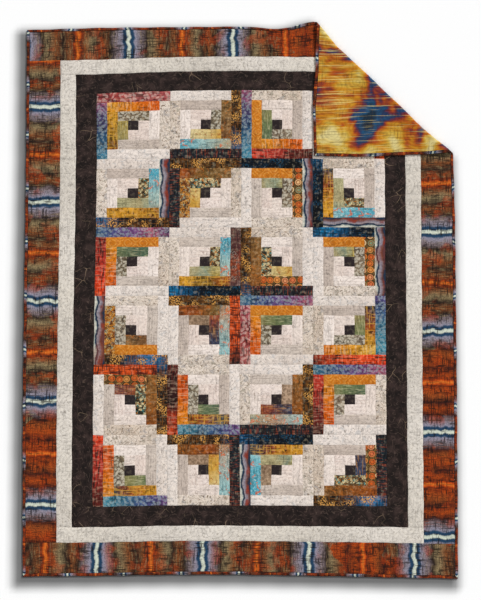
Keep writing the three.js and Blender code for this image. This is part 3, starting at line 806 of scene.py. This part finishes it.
# %% [markdown]
# The cutting chart
#
# Every block has six dark logs: two in each round, the left and the top one when its dark corner is at
# the top left. The chart names each log's cotton and the millimetre of its run at the log's left or top
# end. A minus sign turns the strip end for end. The corner says how far the finished block was turned
# before it was sewn in.
# %% Chart
CORNERS = {"top left": 0, "bottom left": 1, "bottom right": 2, "top right": 3}
CHART = {
    (1, 1): ("top left", "olive 0, grey 0, gold 190, flame 40, dusk 350, rose 60"),
    (1, 2): ("bottom right", "grey 100, cream 60, tan 400, aqua 180, night 380, plaid 290"),
    (1, 3): ("bottom left", "grey 300, olive 130, flame 70, mustard 0, ember 100, dusk 340"),
    (1, 4): ("top right", "olive 200, grey 400, gold 0, mustard 90, deep 60, plaid 400"),
    (2, 1): ("bottom right", "petal 100, olive 470, aqua 170, gold 580, wave 0, night 10"),
    (2, 2): ("top left", "cream 130, petal 290, leafy 0, tan 290, plaid 290, night 270"),
    (2, 3): ("top right", "olive 550, grey 500, mustard 40, tiles 0, deep 130, wave 210"),
    (2, 4): ("bottom left", "petal 430, olive 470, aqua 30, gold 455, wave 90, deep 60"),
    (3, 1): ("top left", "grey 90, olive 200, flame 80, mustard 20, ember 240 -, dusk 130"),
    (3, 2): ("bottom right", "petal 440, olive 540, aqua 170, gold 200, smoke 0, deep 0"),
    (3, 3): ("bottom left", "cream 110, petal 300, tiles 130, tan 0, plaid 320, night 330"),
    (3, 4): ("top right", "olive 560, grey 520, mustard 60, tiles 60, deep 600, wave 20"),
    (4, 1): ("bottom left", "tan 480, grey 330, mustard 30, leafy 150, night 480, wave 140"),
    (4, 2): ("top right", "taupe 250, sunset 120, tan 250, aqua 400, night 300, plaid 10"),
    (4, 3): ("top left", "grey 100, olive 120, flame 100, mustard 10, rose 0, dusk 90"),
    (4, 4): ("bottom right", "olive 90, grey 200, gold 450, flame 370, dusk 210 -, ember 460"),
    (5, 1): ("top right", "sunset 440, petal 200, tiles 300, tan 60, plaid 0, night 60"),
    (5, 2): ("bottom left", "olive 190, grey 130, gold 330, flame 230, dusk 20, ember 290"),
    (5, 3): ("bottom right", "taupe 80, sunset 110, tan 90, aqua 340, night 260, plaid 300"),
    (5, 4): ("top left", "grey 320, olive 140, flame 90, mustard 50, ember 110, dusk 80"),
    (6, 1): ("bottom left", "olive 110, grey 110, gold 460, flame 240, dusk 20, ember 60"),
    (6, 2): ("top right", "taupe 200, cream 240 -, tan 180, aqua 410, night 330, plaid 330"),
    (6, 3): ("top left", "taupe 300, olive 500, aqua 40, gold 440, wave 350, deep 40"),
    (6, 4): ("bottom right", "sunset 190, petal 420, tiles 210, tan 120, plaid 350, night 430"),
}
LIGHT_ORDER = ("blush", "blush", "papers", "stone", "scroll", "ivory")

# %% [markdown]
# Log cabin blocks
#
# A block grows from its dark centre. Each round adds a light log on the right and below, then a dark one
# on the left and on top, each as long as the side that it is sewn to. Every patch keeps its own cotton on
# one continuous grid, and dips along its seams.
# %% Blocks
CUTTING_SEED = 24
STRIPS = 40
draw = np.random.default_rng(CUTTING_SEED)


def logs_of_block(row, column):
    """Each log as (left, bottom, right, top, cotton, run, way along the run), in place on the flat quilt."""
    corner, darks = CHART[row, column]
    darks = darks.split(", ")
    turn = CORNERS[corner]
    middle = Vector(((column - 0.5) * BLOCK - FIELD_X, FIELD_Y - (row - 0.5) * BLOCK))
    logs = [(-0.5, -0.5, 0.5, 0.5, CENTRE, 0, 1)]
    for number in range(ROUNDS):
        inside, outside = number + 0.5, number + 1.5
        sides = (
            (inside, -inside, outside, inside, LIGHT_ORDER[2 * number]),
            (-inside, -outside, outside, -inside, LIGHT_ORDER[2 * number + 1]),
            (-outside, -outside, -inside, inside, darks[2 * number]),
            (-outside, inside, outside, outside, darks[2 * number + 1]),
        )
        for *side, cut in sides:
            name, *cut_at = cut.split()
            cotton = LIGHTS.get(name) or DARKS[name]
            run = int(cut_at[0]) if cut_at else draw.integers(round(RUN_LENGTH / MM))
            logs.append((*side, cotton, run, -1 if cut_at[1:] else 1))
    placed = []
    for left, bottom, right, top, *rest in logs:
        ends = [Matrix.Rotation(turn * math.pi / 2, 2) @ Vector(end) * LOG + middle
                for end in ((left, bottom), (right, top))]
        xs, ys = sorted(end.x for end in ends), sorted(end.y for end in ends)
        placed.append((xs[0], ys[0], xs[1], ys[1], *rest))
    return placed


def sew_block(row, column):
    logs = logs_of_block(row, column)
    boxes = np.array([log[:4] for log in logs])
    runs = np.array([log[5] for log in logs]) * MM
    ways = np.array([log[6] for log in logs])
    strips = draw.integers(1, STRIPS, len(logs)) * STRIP_PITCH

    def depths(x, y):
        return inside_box(boxes.T[:, :, None], x, y)

    def uv_of(x, y, patch):
        return uv_on_strip(boxes[patch].T, x, y, runs[patch], strips[patch], ways[patch])

    left, top = (column - 1) * BLOCK - FIELD_X, FIELD_Y - (row - 1) * BLOCK
    bm = flat_grid((left, top - BLOCK, left + BLOCK, top), GRID)
    draw_rim(bm, 0)
    block = finish_piece(
        f"quilted_block_r{row}_c{column}", bm, top_height(lambda x, y: depths(x, y).max(0)),
        [log[4] for log in logs], uv_of, lambda x, y: depths(x, y).argmax(0),
    )
    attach(block, "root")
    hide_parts(f"block_r{row}_c{column}")
    return block


blocks = [sew_block(row, column) for row, column in CHART]
print("blocks", len(blocks), "faces each", len(blocks[0].data.polygons))

# %% [markdown]
# Border cottons
#
# The inner border is a near-black cotton with a fine pale crackle, and the middle one a plain ivory. The
# outer one is a print in bands that cross the strip, in an olive and a rust colourway: brown grounds, a
# bright streak and a pale, ragged band with navy edges. The binding is cut from a like print.
# %% Border cottons
OUTER_REPEAT = 385 * MM
OUTER_STARTS = (0.2, 7.4, 3.1, 5.9)
OLIVE_WAY = ("8c5028", "34261c", "94805c", "bc4e10")
RUST_WAY = ("b04812", "401812", "984a1c", "c84c0e")
COLOURWAY_SPAN = 10


def crackled_charcoal(name):
    paint = start_cloth(name)
    shown = paint.ramp(paint.noise(30, 4.0), stops_of("0.3 181211, 0.5 241b19, 0.7 382b28"))
    shown = paint.mix(threads(paint, 9 * MM) * 0.35, shown, "6c5a50")
    veins = paint.step(paint.cells(46 * MM, 90 * MM, "DISTANCE_TO_EDGE"), 0.02, 0.006)
    shown_veins = veins * paint.spots(0.56, 0.66, 9, 3.0)
    shown = paint.mix(shown_veins * 0.4, shown, "c4a888")
    return finish_cloth(paint, shown)


def banded_print(name, repeat, colourways, turns=()):
    """Bands that cross a strip, under dark strokes: an ivory one with wavy navy edges, and a bright streak.

    The print has two colourways, and turns is a list of (metres along, colourway) where it changes.
    """
    paint = start_cloth(name)
    wave = (paint.noise(30, 1.0, stretch=(5, 1)) - 0.5) * (18 * MM)
    ragged = (paint.noise(190, stretch=(3, 0.5)) - 0.5) * (7 * MM)
    place = paint.fraction((paint.along + wave + ragged) * (1 / repeat))
    ways = []
    for ground, dark, tan, streak in colourways:
        ways.append(paint.ramp(place, stops_of(
            f"0 dcdcc8, 0.012 c4ccbc, 0.022 1c3854, 0.046 20405c, 0.062 9490a0, 0.12 8c7c80, 0.17 {dark}, "
            f"0.22 {tan}, 0.3 {ground}, 0.37 {dark}, 0.44 {ground}, 0.478 74280e, 0.494 {streak}, "
            f"0.512 dc7428, 0.53 {streak}, 0.546 74280e, 0.585 {ground}, 0.65 {tan}, 0.71 {dark}, "
            f"0.77 {ground}, 0.83 {dark}, 0.88 8c7c80, 0.938 9490a0, 0.954 20405c, 0.978 1c3854, "
            "0.988 c4ccbc"
        )))
    turned = 0.0
    if turns:
        drift = (paint.noise(9) - 0.5) * (240 * MM)
        stops = [(at / COLOURWAY_SPAN, ("000000", "ffffff")[way]) for at, way in [(0, 0), *turns]]
        turned = paint.ramp((paint.along + drift) * (1 / COLOURWAY_SPAN), stops, "CONSTANT")
    shown = paint.mix(turned, *ways)
    tans = paint.mix(turned, colourways[0][2], colourways[1][2])
    off_band = paint.step(place, 0.06, 0.12) * paint.step(place, 0.94, 0.88)
    off_streak = paint.step(paint.maths("ABSOLUTE", place - 0.512), 0.02, 0.05)
    rust = paint.spots(0.5, 0.6, 13) * off_band * off_streak
    shown = paint.mix(rust * 0.5, shown, "b4400c")
    rubbed = paint.spots(0.52, 0.66, 90, 3.0, stretch=(0.6, 3)) * off_band * off_streak
    shown = paint.mix(rubbed * 0.5, shown, tans)
    plaid = hatch(paint, 6.5 * MM) * paint.spots(0.42, 0.55, 22)
    shown = paint.mix(plaid * 0.8, shown, "120a08")
    shown = paint.mix(hatch(paint, 4.5 * MM) * off_band * 0.5, shown, "1c100c")
    off_ivory = paint.step(place, 0.05, 0.07) * paint.step(place, 0.95, 0.93)
    specks = paint.spots(0.5, 0.6, 260) * off_ivory
    return finish_cloth(paint, paint.mix(specks * off_streak * 0.45, shown, "120c0c"))


CHARCOAL = crackled_charcoal("crackled_charcoal")
IVORY = printed(
    "ivory_border", "0 dcd4c8, 220 d2cabf, 430 e0d8ce",
    "threads 8 6c6258 0.5, threads 5.5 8c8070 0.3", mottle=0.4,
)
left_at, right_at, top_at, bottom_at = OUTER_STARTS
BANDS = banded_print("banded_print", OUTER_REPEAT, (OLIVE_WAY, RUST_WAY), [
    (left_at + 1.4, 1), (top_at - 0.2, 0), (top_at + 0.9, 1), (bottom_at - 0.2, 0), (bottom_at + 1.1, 1),
    (right_at - 0.2, 0), (right_at + 1.1, 1),
])

# %% [markdown]
# Borders
#
# A border is four strips. The side strips are sewn on first, and the top and bottom strips run across
# their ends. They are quilted through like the blocks, so the same swirls run over them.
# %% Border strips
def sew_strip(name, node, box, cotton, start):
    left, bottom, right, top = box
    width, length = right - left, top - bottom
    bm = flat_grid(box, GRID)
    draw_rim(bm, 0)
    strip = finish_piece(
        name, bm, top_height(lambda x, y: inside_box(box, x, y)), [cotton],
        lambda x, y, patch: uv_on_strip(box, x, y, start, start),
    )
    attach(strip, "root")
    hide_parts(node)
    folded = past_fold(right, top) > 0
    return strip


def sew_border(name, inside_x, inside_y, width, cotton, starts):
    outside_x, outside_y = inside_x + width, inside_y + width
    boxes = {
        "left": (-outside_x, -inside_y, -inside_x, inside_y),
        "right": (inside_x, -inside_y, outside_x, inside_y),
        "top": (-outside_x, inside_y, outside_x, outside_y),
        "bottom": (-outside_x, -outside_y, outside_x, -inside_y),
    }
    return [sew_strip(f"quilted_{name}_{side}", f"{name}_{side}", box, cotton, start)
            for (side, box), start in zip(boxes.items(), starts)]


borders = [
    *sew_border("inner_border", FIELD_X, FIELD_Y, INNER_BORDER, CHARCOAL, (1.1, 3.3, 5.7, 8.2)),
    *sew_border("middle_border", INNER_X, INNER_Y, MIDDLE_BORDER, IVORY, (0.4, 2.9, 6.1, 9.5)),
    *sew_border("outer_border", MIDDLE_X, MIDDLE_Y, OUTER_BORDER, BANDS, OUTER_STARTS),
]
print("border strips", len(borders))

# %% [markdown]
# Backing
#
# The backing is one cloth under everything, and the folded corner shows its outside. So the grid is
# coarse where it lies on the floor and fine on the corner, where the quilting shows from behind.
# %% Backing
FLOOR_GRID = 3 * GRID
BACKING_RELIEF = 1.5 * MM


def brushed_backing(name):
    """Large soft patches of colour under crossed strokes of a dry brush."""
    paint = start_cloth(name)
    tone = paint.noise(5.5, 3.0, warp=0.3) + (paint.noise(60, stretch=(1, 5)) - 0.5) * 0.12
    shown = paint.ramp(tone, stops_of(
        "0.34 d8c888, 0.41 c8a440, 0.47 c0801c, 0.52 a84c18, 0.555 742c30, 0.585 28385c, 0.64 1c4c70, "
        "0.7 182c3c"
    ))
    worn = paint.spots(0.45, 0.62, 14)
    dark_strokes = paint.spots(0.52, 0.66, 170, stretch=(10, 0.9)) * worn
    shown = paint.mix(dark_strokes * 0.4, shown, "4c2814")
    other_strokes = paint.spots(0.52, 0.66, 170, stretch=(0.9, 12))
    shown = paint.mix(other_strokes * 0.4, shown, "2c1c18")
    pale = paint.spots(0.62, 0.68, 190, stretch=(0.8, 34))
    shown = paint.mix(pale * 0.5, shown, "e8d488")
    return finish_cloth(paint, shown)


def make_backing():
    bm = flat_grid((-OUTER_X, -OUTER_Y, OUTER_X, OUTER_Y), FLOOR_GRID)
    near_fold = [edge for edge in bm.edges
                 if all(past_fold(vert.co.x, vert.co.y) > -FLOOR_GRID for vert in edge.verts)]
    bmesh.ops.subdivide_edges(bm, edges=near_fold, cuts=2, use_grid_fill=True)
    bmesh.ops.translate(bm, verts=bm.verts, vec=(0, 0, -1))
    draw_rim(bm, 1)

    def heights(x, y, layer):
        shown = ease(past_fold(x, y), 0, TURN_END)
        relief = (0.5 - quilting(x, y)) * BACKING_RELIEF * shown
        return np.where(layer > 0.5, BACKING_THICKNESS, relief)

    backing = finish_piece(
        "backing_cloth", bm, heights, [brushed_backing("brushed_gold")],
        lambda x, y, patch: np.stack([x, y], axis=1),
    )
    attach(backing, "root")
    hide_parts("backing")
    2 * OUTER_X
    2 * OUTER_Y
    return backing


backing = make_backing()
print("backing faces", len(backing.data.polygons))

# %% [markdown]
# Binding
#
# The binding is a strip rolled over the raw edge and sewn down on both faces, with a mitre at each
# corner. A grid is bent into its C-shaped section, outside first and back along the inside, and runs
# along one side.
# %% Binding
SECTION_SQUARENESS = 0.62
SECTION_STEPS = 13
INSIDE_STEPS = 9
LIP_AT = 0.8 * math.pi
BINDING_HEIGHT = 5.2 * MM
BINDING_CLOTH_THICKNESS = 0.6 * MM
BINDING_RELIEF = 0.25 * MM
BINDING_REPEAT = 210 * MM
BINDING_WAY = ("983a14", "3c1a12", "744024", "a4441a")


def section_of_binding(inset, steps):
    """Places out from the seam and heights, from the upper lip round the outside to the lower lip."""
    turns = np.linspace(LIP_AT, -LIP_AT, steps)
    bulge_out, bulge_up = (
        np.sign(part) * np.abs(part) ** SECTION_SQUARENESS for part in (np.cos(turns), np.sin(turns))
    )
    out = (BINDING + GAP) / 2 + ((BINDING - GAP) / 2 - inset) * bulge_out
    return np.stack([out, BINDING_HEIGHT / 2 + (BINDING_HEIGHT / 2 - inset) * bulge_up], axis=1)


def roll_binding(name, node, half_length, place_of):
    """place_of gives the flat place for a distance along the side and a distance out from its seam."""
    outside = section_of_binding(0, SECTION_STEPS)
    inside = section_of_binding(BINDING_CLOTH_THICKNESS, INSIDE_STEPS)[::-1]
    section = np.concatenate([outside, inside, outside[:1]])
    bm = bmesh.new()
    bmesh.ops.create_grid(bm, x_segments=round(2 * half_length / GRID), y_segments=len(section) - 1, size=1)
    for vert in bm.verts:
        out, height = section[round((vert.co.y + 1) / 2 * (len(section) - 1))]
        x, y = place_of(vert.co.x * (half_length + out - GAP), out)
        vert.co = (x, y, height)
    bmesh.ops.remove_doubles(bm, verts=bm.verts, dist=SAME_PLACE)
    bmesh.ops.holes_fill(bm, edges=rim_of(bm), sides=len(section))
    bmesh.ops.recalc_face_normals(bm, faces=bm.faces)
    lies_across = "top" in node or "bottom" in node

    def uv_of(x, y, patch):
        return np.stack([x, y] if lies_across else [y, x], axis=1)

    def heights(x, y, layer):
        return layer + BINDING_RELIEF * (quilting(x, y) - 0.5) * (layer > MIDDLE_HEIGHT)

    binding = finish_piece(name, bm, heights, [BINDING_CLOTH], uv_of)
    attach(binding, "root")
    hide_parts(node)
    2 * half_length
    return binding


BINDING_CLOTH = banded_print("banded_binding", BINDING_REPEAT, (BINDING_WAY, BINDING_WAY))
BINDING_SIDES = {
    "top": (OUTER_X, lambda along, out: (along, OUTER_Y + out)),
    "bottom": (OUTER_X, lambda along, out: (-along, -OUTER_Y - out)),
    "left": (OUTER_Y, lambda along, out: (-OUTER_X - out, along)),
    "right": (OUTER_Y, lambda along, out: (OUTER_X + out, -along)),
}
bindings = [
    roll_binding(f"binding_strip_{side}", f"binding_{side}", *run) for side, run in BINDING_SIDES.items()
]
print("binding strips", len(bindings))

# %% [markdown]
# Floor, light and camera
#
# The quilt lies on a white floor. A large soft light stands high behind the top right corner, and the sky
# fills its shadows. The wide soft shadow to the left and below is painted on the floor, because a thin
# cloth casts a narrower one. The camera is far off with a long lens, leaning back a little from straight
# above.
# %% Floor
FLOOR_CELLS = (150, 180)
FLOOR_HALF = (1.2, 1.5)
FLOOR_REACH = 30
FLOOR_DROP = 0.2 * MM
FLOOR_WHITE = "fafafa"
SHADOW_GREY = "6c6c6c"
SHADOW_SLIP = np.array((-17, -22)) * MM
SHADOW_SPREAD = 22 * MM
SHADOW_BLUR = 56 * MM
OUTLINE_STEPS = 60


def outline_of_quilt():
    """The outline that shows from above, as one closed row of points, with the fold as its diagonal."""
    steps = np.linspace(0, 1, OUTLINE_STEPS)
    fold_at = FOLD_START * math.sqrt(2)
    corners = [
        (fold_at - EDGE_Y, EDGE_Y), (-EDGE_X, EDGE_Y), (-EDGE_X, -EDGE_Y), (EDGE_X, -EDGE_Y),
        (EDGE_X, fold_at - EDGE_X), (fold_at - EDGE_Y, EDGE_Y),
    ]
    flat = np.concatenate([np.outer(1 - steps, start) + np.outer(steps, end)
                           for start, end in zip(corners, corners[1:])])
    return lay(flat[:, 0], flat[:, 1], np.zeros(len(flat)))[:, :2]


def outside_outline(points, outline):
    """How far each point lies outside the outline, less than 0 inside it."""
    start, side = outline[:-1], np.diff(outline, axis=0)
    kept = np.hypot(*side.T) > 0
    start, side = start[kept], side[kept]
    nearest = np.full(len(points), np.inf)
    crossings = np.zeros(len(points), int)
    for (x, y), (run, rise) in zip(start, side):
        dx, dy = points[:, 0] - x, points[:, 1] - y
        share = np.clip((dx * run + dy * rise) / (run * run + rise * rise), 0, 1)
        nearest = np.minimum(nearest, np.hypot(dx - share * run, dy - share * rise))
        passes = (dy >= 0) != (dy >= rise)
        crossings += passes & (dx < run * dy / (rise if rise else 1))
    return np.where(crossings % 2 == 1, -nearest, nearest)


def white_floor():
    """A white floor, darkened softly beside the quilt as by a low studio light from the top right."""
    (across, down), (half_x, half_y) = FLOOR_CELLS, FLOOR_HALF
    bm = bmesh.new()
    bmesh.ops.create_grid(bm, x_segments=across, y_segments=down, size=1)
    bmesh.ops.scale(bm, verts=bm.verts, vec=(half_x, half_y, 1))
    outer = only(bmesh.types.BMVert, bmesh.ops.extrude_edge_only(bm, edges=rim_of(bm))["geom"])
    bmesh.ops.scale(bm, verts=outer, vec=(FLOOR_REACH / half_x, FLOOR_REACH / half_y, 1))
    mesh = mesh_of("floor", bm)
    places = read(mesh.vertices, "co", 3)[:, :2]
    outside = outside_outline(places - SHADOW_SLIP, outline_of_quilt()) - SHADOW_SPREAD
    shade = mesh.attributes.new("shade", "FLOAT", "POINT")
    write(shade.data, "value", 1 - ease(outside, -SHADOW_BLUR / 2, SHADOW_BLUR / 2))
    paint = Paint("floor_white")
    shaded = paint.node("ShaderNodeAttribute", {"attribute_name": "shade"}, {}, 2)
    paint.put(paint.shader.inputs["Base Color"], paint.mix(shaded, FLOOR_WHITE, SHADOW_GREY))
    paint.put(paint.shader.inputs["Roughness"], 0.9)
    mesh.materials.append(paint.material)
    floor = add_object("floor", mesh)
    floor.location.z = -FLOOR_DROP


white_floor()

# %% Light
SKY_STRENGTH = 0.58
SUN_STRENGTH = 2.95
SUN_WIDTH = math.radians(8)
SUN_FROM = (0.62, 0.66, 0.5)

world = bpy.data.worlds.new("studio")
world.use_nodes = True
sky = world.node_tree.nodes["Background"]
sky.inputs["Color"].default_value = (1, 1, 1, 1)
sky.inputs["Strength"].default_value = SKY_STRENGTH
bpy.context.scene.world = world

sun = bpy.data.lights.new("soft_window", "SUN")
sun.energy = SUN_STRENGTH
sun.angle = SUN_WIDTH
window = add_object("soft_window", sun)
window.rotation_euler = Vector(SUN_FROM).to_track_quat("Z", "Y").to_euler()

# %% Camera
TILT = math.radians(17.197)
ROLL = math.radians(0.131)
CAMERA_DISTANCE = 18.03
SENSOR = 36
FOCAL_SHARE = 4903.5 / 600
AIM_UP = -15 * MM

camera_data = bpy.data.cameras.new("camera")
camera_data.sensor_width = SENSOR
camera_data.lens = SENSOR * FOCAL_SHARE
camera_data.clip_end = 100
camera = add_object("camera", camera_data)
back = Vector((0, -math.sin(TILT), math.cos(TILT)))
aim = Vector((SHIFT_X, SHIFT_Y + AIM_UP, 0))
turned = Matrix.Rotation(TILT, 4, "X") @ Matrix.Rotation(ROLL, 4, "Z")
camera.matrix_world = Matrix.Translation(aim + back * CAMERA_DISTANCE) @ turned
bpy.context.scene.camera = camera
bpy.context.scene.view_settings.view_transform = "Standard"
print("camera height, m", camera.matrix_world.translation.z)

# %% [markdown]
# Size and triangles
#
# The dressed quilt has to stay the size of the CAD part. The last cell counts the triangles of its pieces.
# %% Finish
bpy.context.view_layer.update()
pieces = [*blocks, *borders, backing, *bindings]
triangles = [sum(len(face.vertices) - 2 for face in piece.data.polygons) for piece in pieces]
print("triangles", sum(triangles), "the largest piece", max(triangles))
